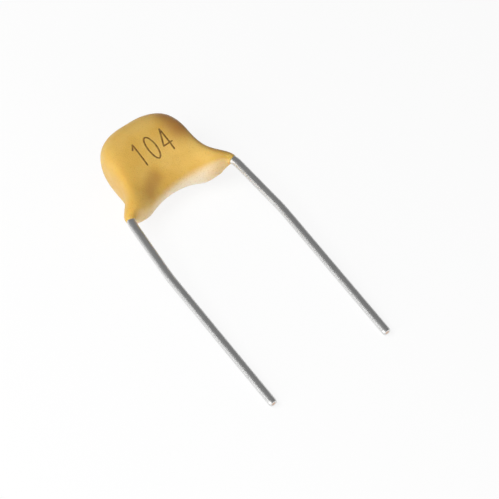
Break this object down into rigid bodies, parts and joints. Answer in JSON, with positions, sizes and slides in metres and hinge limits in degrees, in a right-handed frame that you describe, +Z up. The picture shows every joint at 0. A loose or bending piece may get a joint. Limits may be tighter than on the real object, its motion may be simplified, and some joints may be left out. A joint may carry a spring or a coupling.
{
  "type": "multilayer ceramic capacitor",
  "caption": "Radial-lead multilayer ceramic capacitor: a rounded dipped epoxy body that flares down long tinned wire leads, for soldering into a circuit board.",
  "frame": {"origin": "on the surface the part lies on, under the middle of its overall box", "axes": "+X from the left lead to the right lead, +Y from the lead tips towards the body, +Z up, out of the marked face"},
  "size_m": [0.0082, 0.0196, 0.0031],
  "materials": {
    "dipped_epoxy": "satin golden-yellow dipped resin with a slight orange peel",
    "tinned_copper": "satin tin plate on drawn copper wire",
    "fired_ceramic": "matt fired dielectric",
    "fired_silver": "matt fired metal",
    "electrode_metal": "dull fired metal film",
    "solder": "bright reflowed solder"
  },
  "bodies": {
    "root": {"ceramic_body": "fired_ceramic", "electrode_left_01": "electrode_metal", "electrode_left_02": "electrode_metal", "electrode_left_03": "electrode_metal", "electrode_left_04": "electrode_metal", "electrode_left_05": "electrode_metal", "electrode_left_06": "electrode_metal", "electrode_left_07": "electrode_metal", "electrode_left_08": "electrode_metal", "electrode_left_09": "electrode_metal", "electrode_left_10": "electrode_metal", "electrode_left_11": "electrode_metal", "electrode_right_01": "electrode_metal", "electrode_right_02": "electrode_metal", "electrode_right_03": "electrode_metal", "electrode_right_04": "electrode_metal", "electrode_right_05": "electrode_metal", "electrode_right_06": "electrode_metal", "electrode_right_07": "electrode_metal", "electrode_right_08": "electrode_metal", "electrode_right_09": "electrode_metal", "electrode_right_10": "electrode_metal", "epoxy_coating": "dipped_epoxy", "left_lead": "tinned_copper", "left_solder": "solder", "left_termination": "fired_silver", "right_lead": "tinned_copper", "right_solder": "solder", "right_termination": "fired_silver"}
  },
  "joints": []
}
